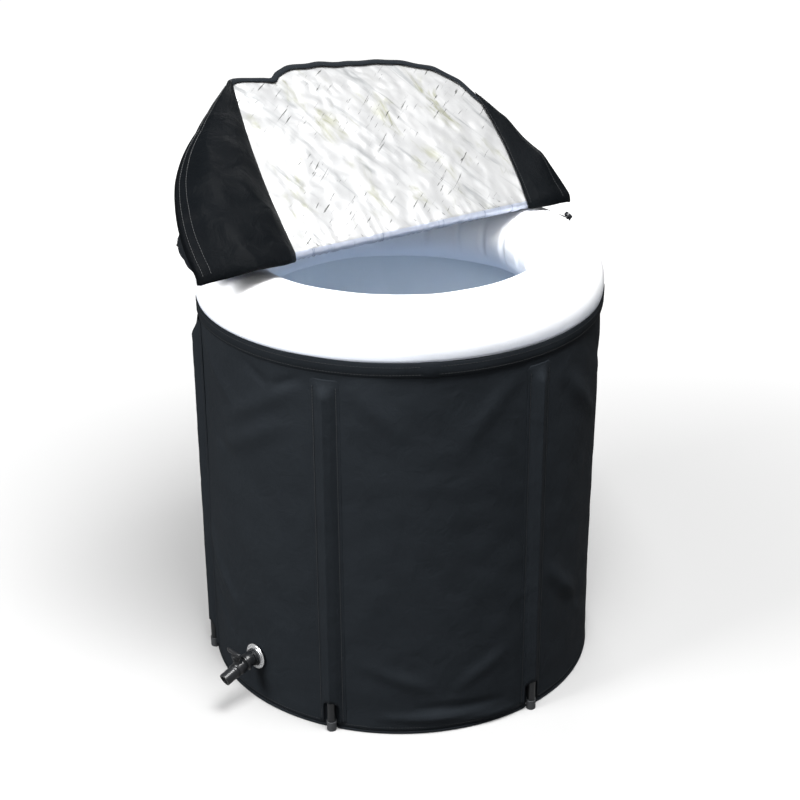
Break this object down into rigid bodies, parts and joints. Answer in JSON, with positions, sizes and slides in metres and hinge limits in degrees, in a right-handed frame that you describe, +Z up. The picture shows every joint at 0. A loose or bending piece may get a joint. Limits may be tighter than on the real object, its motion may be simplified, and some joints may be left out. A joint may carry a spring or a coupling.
{
  "type": "cold plunge tub",
  "caption": "Round foldable cold plunge tub: cloth wall on poles, white liner, inflatable rim ring, drain tap and a foil lined lid with one half folded open.",
  "frame": {"origin": "on the floor under the middle of the tub", "axes": "+Z up; -Y faces the front panel of the wall, half way between two poles; +X to the right as seen from the front"},
  "size_m": [0.7983, 0.79, 1.1109],
  "materials": {
    "black_cloth": "matte coated oxford weave",
    "foam": "closed cell foam",
    "white_vinyl": "smooth satin vinyl",
    "foil": "crinkled bright foil",
    "black_plastic": "moulded, half gloss",
    "black_rubber": "matte",
    "bright_metal": "plated, polished"
  },
  "bodies": {
    "tub": {"outer_jacket": "black_cloth", "top_hem_band": "black_cloth", "bottom_piping": "black_cloth", "base_sheet": "black_cloth", "pole_sleeve_1": "black_cloth", "pole_sleeve_2": "black_cloth", "pole_sleeve_3": "black_cloth", "pole_sleeve_4": "black_cloth", "pole_sleeve_5": "black_cloth", "pole_sleeve_6": "black_cloth", "lid_rear_cover": "black_cloth", "lid_rear_binding": "black_cloth", "lid_rear_skirt": "black_cloth", "insulation_wall": "foam", "insulation_base": "foam", "lid_rear_foam": "foam", "liner_front": "white_vinyl", "liner_back": "white_vinyl", "liner_floor": "white_vinyl", "air_ring": "white_vinyl", "lid_rear_foil": "foil", "valve_base": "black_plastic", "valve_stem": "black_plastic", "support_pole_1": "black_plastic", "support_pole_2": "black_plastic", "support_pole_3": "black_plastic", "support_pole_4": "black_plastic", "support_pole_5": "black_plastic", "support_pole_6": "black_plastic", "pole_plug_1": "black_plastic", "pole_plug_2": "black_plastic", "pole_plug_3": "black_plastic", "pole_plug_4": "black_plastic", "pole_plug_5": "black_plastic", "pole_plug_6": "black_plastic", "drain_inlet": "black_plastic", "lock_nut": "black_plastic", "tap_elbow": "black_plastic", "tap_body": "black_plastic", "tap_spout": "black_plastic", "foot_cap_1": "black_rubber", "foot_cap_2": "black_rubber", "foot_cap_3": "black_rubber", "foot_cap_4": "black_rubber", "foot_cap_5": "black_rubber", "foot_cap_6": "black_rubber", "inner_gasket": "black_rubber", "outer_gasket": "black_rubber", "drain_eyelet": "bright_metal"},
    "lid_flap": {"lid_flap_cover": "black_cloth", "lid_flap_foam": "foam", "lid_flap_foil": "foil", "lid_flap_binding": "black_cloth", "lid_top_skirt": "black_cloth", "lid_left_wing": "black_cloth", "lid_right_wing": "black_cloth"},
    "tap_lever": {"tap_handle": "black_plastic", "tap_ball": "black_plastic"},
    "valve_lid": {"valve_cap": "black_plastic"}
  },
  "joints": [
    {"name": "lid_fold", "type": "hinge", "parent": "tub", "child": "lid_flap", "pos_m": [0, 0, 0.8497], "axis": [0.9135, 0.4067, 0], "range_deg": [0, 140], "deforming": ["lid_left_wing", "lid_right_wing"]},
    {"name": "tap_turn", "type": "hinge", "parent": "tub", "child": "tap_lever", "pos_m": [-0.34676, -0.22519, 0.08955], "axis": [-0.273, -0.1773, 0.9455], "range_deg": [0, 90]},
    {"name": "valve_cap_flip", "type": "hinge", "parent": "tub", "child": "valve_lid", "pos_m": [0.35649, 0.11583, 0.80321], "axis": [-0.309, 0.9511, 0], "range_deg": [0, 100]}
  ]
}
